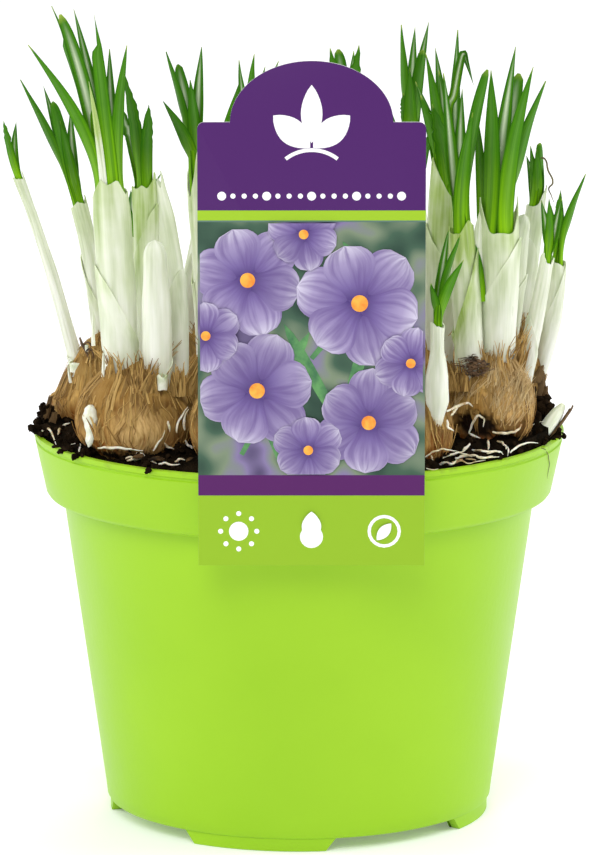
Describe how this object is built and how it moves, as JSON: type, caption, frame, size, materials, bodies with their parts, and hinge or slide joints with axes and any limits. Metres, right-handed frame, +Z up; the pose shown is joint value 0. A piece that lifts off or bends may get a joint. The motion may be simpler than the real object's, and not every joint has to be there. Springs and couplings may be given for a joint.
{
  "type": "potted crocus",
  "caption": "Round tapered plastic pot of sprouting crocus corms in compost, with pale sheaths, narrow green leaves and a card label on the rim.",
  "frame": {"origin": "on the pot's axis at the level of its feet, at the middle of the whole part's bounding box within its tolerance", "axes": "+Z up along the pot's axis, -Y towards the front where the label hangs"},
  "size_m": [0.1309, 0.1209, 0.1856],
  "materials": {
    "lime_plastic": "satin moulded lime green plastic",
    "compost": "damp dark peat, stands in for soil",
    "printed_card": "printed thin plastic card, purple and lime",
    "corm_coat": "dry silky brown fibres of a plant corm",
    "pale_sheath": "ivory papery leaf sheath, soft sheen",
    "green_leaf": "fresh green leaf with a pale midrib"
  },
  "bodies": {
    "root": {"corm_01": "corm_coat", "corm_02": "corm_coat", "corm_03": "corm_coat", "corm_04": "corm_coat", "corm_05": "corm_coat", "corm_06": "corm_coat", "corm_07": "corm_coat", "corm_08": "corm_coat", "corm_09": "corm_coat", "corm_10": "corm_coat", "corm_11": "corm_coat", "corm_12": "corm_coat", "label": "printed_card", "leaves_01": "green_leaf", "leaves_02": "green_leaf", "leaves_03": "green_leaf", "leaves_04": "green_leaf", "leaves_07": "green_leaf", "leaves_08": "green_leaf", "leaves_09": "green_leaf", "leaves_10": "green_leaf", "leaves_11": "green_leaf", "leaves_12": "green_leaf", "leaves_13": "green_leaf", "leaves_15": "green_leaf", "leaves_16": "green_leaf", "leaves_17": "green_leaf", "leaves_18": "green_leaf", "leaves_19": "green_leaf", "leaves_20": "green_leaf", "leaves_21": "green_leaf", "leaves_22": "green_leaf", "leaves_23": "green_leaf", "old_shoot": "pale_sheath", "pot": "lime_plastic", "sheath_01": "pale_sheath", "sheath_02": "pale_sheath", "sheath_03": "pale_sheath", "sheath_04": "pale_sheath", "sheath_05": "pale_sheath", "sheath_06": "pale_sheath", "sheath_07": "pale_sheath", "sheath_08": "pale_sheath", "sheath_09": "pale_sheath", "sheath_10": "pale_sheath", "sheath_11": "pale_sheath", "sheath_12": "pale_sheath", "sheath_13": "pale_sheath", "sheath_14": "pale_sheath", "sheath_15": "pale_sheath", "sheath_16": "pale_sheath", "sheath_17": "pale_sheath", "sheath_18": "pale_sheath", "sheath_19": "pale_sheath", "sheath_20": "pale_sheath", "sheath_21": "pale_sheath", "sheath_22": "pale_sheath", "sheath_23": "pale_sheath", "soil": "compost"}
  },
  "joints": []
}
